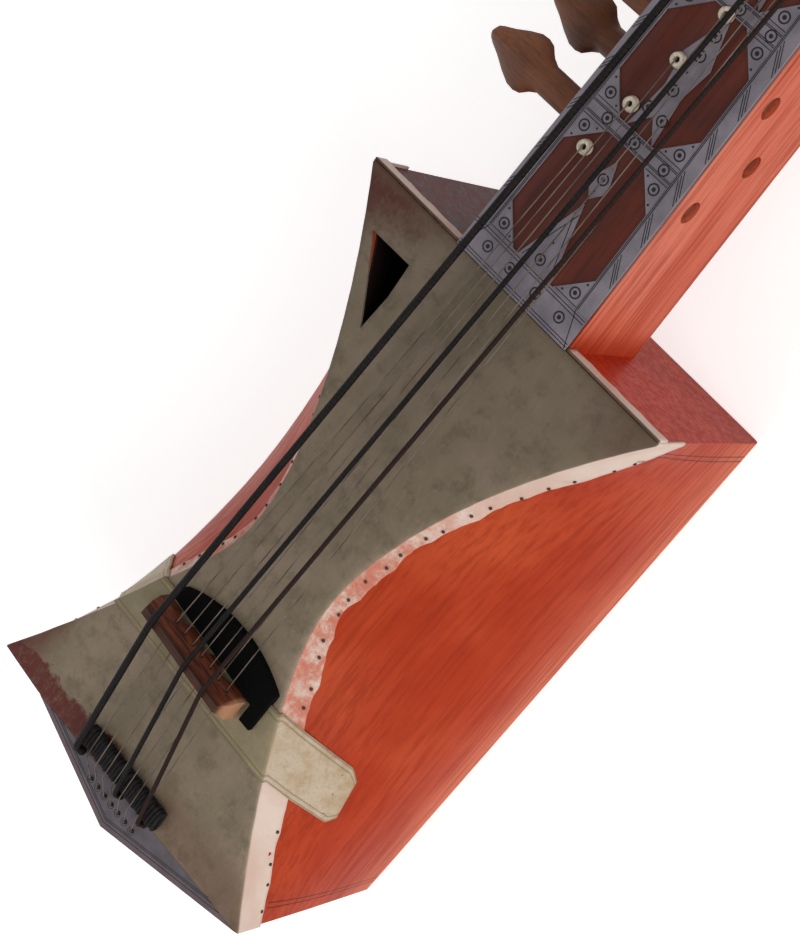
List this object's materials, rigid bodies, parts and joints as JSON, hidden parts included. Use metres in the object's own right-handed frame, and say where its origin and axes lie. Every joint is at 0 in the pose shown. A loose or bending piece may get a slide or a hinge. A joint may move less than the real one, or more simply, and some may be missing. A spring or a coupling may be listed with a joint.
{
  "type": "sarangi",
  "caption": "Short bowed lute carved from one block, with a waisted skin belly, inlaid neck, thick gut strings over a bridge, fine wires and turning pegs.",
  "frame": {"origin": "on the flat back face, straight under the middle of the skin strap that carries the bridge", "axes": "+X to the right seen from the front with the head up, +Y along the neck towards the head, +Z out of the belly"},
  "size_m": [0.184, 0.636, 0.1199],
  "materials": {
    "body_wood": "oiled",
    "belly_skin": "matt",
    "strap_skin": "matt",
    "iron": "dull",
    "bone": "polished",
    "black_leather": "matt",
    "bridge_wood": "oiled",
    "gut": "dull",
    "wire": "bright",
    "dark_wood": "oiled",
    "peg_wood": "oiled"
  },
  "bodies": {
    "frame": {"body_block": "body_wood", "belly_skin": "belly_skin", "skin_strap": "strap_skin", "skin_tacks": "iron", "strap_nails": "iron", "tail_plate": "bone", "tail_bar": "black_leather", "bridge": "bridge_wood", "bridge_pad": "black_leather", "gut_string_1": "gut", "gut_string_2": "gut", "gut_string_3": "gut", "sympathetic_wires": "wire", "wire_eyelets": "bone", "fingerboard_panel": "dark_wood", "inlay_lower_band": "bone", "inlay_borders": "bone", "inlay_cross_bands": "bone", "inlay_corners": "bone", "inlay_spike": "bone", "inlay_lozenge": "bone", "inlay_spears": "bone", "nut": "bone", "head_face_plate": "dark_wood"},
    "side_peg_1_turn": {"side_peg_1": "peg_wood"},
    "side_peg_2_turn": {"side_peg_2": "peg_wood"},
    "side_peg_3_turn": {"side_peg_3": "peg_wood"},
    "side_peg_4_turn": {"side_peg_4": "peg_wood"},
    "side_peg_5_turn": {"side_peg_5": "peg_wood"},
    "side_peg_6_turn": {"side_peg_6": "peg_wood"},
    "side_peg_7_turn": {"side_peg_7": "peg_wood"},
    "main_peg_1_turn": {"main_peg_1": "peg_wood", "gut_winding_1": "gut"},
    "main_peg_2_turn": {"main_peg_2": "peg_wood", "gut_winding_2": "gut"},
    "main_peg_3_turn": {"main_peg_3": "peg_wood", "gut_winding_3": "gut"}
  },
  "joints": [
    {"name": "turn_side_peg_1", "type": "hinge", "parent": "frame", "child": "side_peg_1_turn", "pos_m": [0, 0.2654, 0.0845], "axis": [-1, 0, 0], "continuous": true},
    {"name": "turn_side_peg_2", "type": "hinge", "parent": "frame", "child": "side_peg_2_turn", "pos_m": [0, 0.2884, 0.0645], "axis": [-1, 0, 0], "continuous": true},
    {"name": "turn_side_peg_3", "type": "hinge", "parent": "frame", "child": "side_peg_3_turn", "pos_m": [0, 0.3114, 0.0845], "axis": [-1, 0, 0], "continuous": true},
    {"name": "turn_side_peg_4", "type": "hinge", "parent": "frame", "child": "side_peg_4_turn", "pos_m": [0, 0.3344, 0.0645], "axis": [-1, 0, 0], "continuous": true},
    {"name": "turn_side_peg_5", "type": "hinge", "parent": "frame", "child": "side_peg_5_turn", "pos_m": [0, 0.3574, 0.0845], "axis": [-1, 0, 0], "continuous": true},
    {"name": "turn_side_peg_6", "type": "hinge", "parent": "frame", "child": "side_peg_6_turn", "pos_m": [0, 0.3804, 0.0645], "axis": [-1, 0, 0], "continuous": true},
    {"name": "turn_side_peg_7", "type": "hinge", "parent": "frame", "child": "side_peg_7_turn", "pos_m": [0, 0.4034, 0.0845], "axis": [-1, 0, 0], "continuous": true},
    {"name": "turn_main_peg_1", "type": "hinge", "parent": "frame", "child": "main_peg_1_turn", "pos_m": [0, 0.455, 0.068], "axis": [-1, 0, 0], "continuous": true},
    {"name": "turn_main_peg_2", "type": "hinge", "parent": "frame", "child": "main_peg_2_turn", "pos_m": [0, 0.476, 0.068], "axis": [1, 0, 0], "continuous": true},
    {"name": "turn_main_peg_3", "type": "hinge", "parent": "frame", "child": "main_peg_3_turn", "pos_m": [0, 0.497, 0.068], "axis": [-1, 0, 0], "continuous": true}
  ]
}
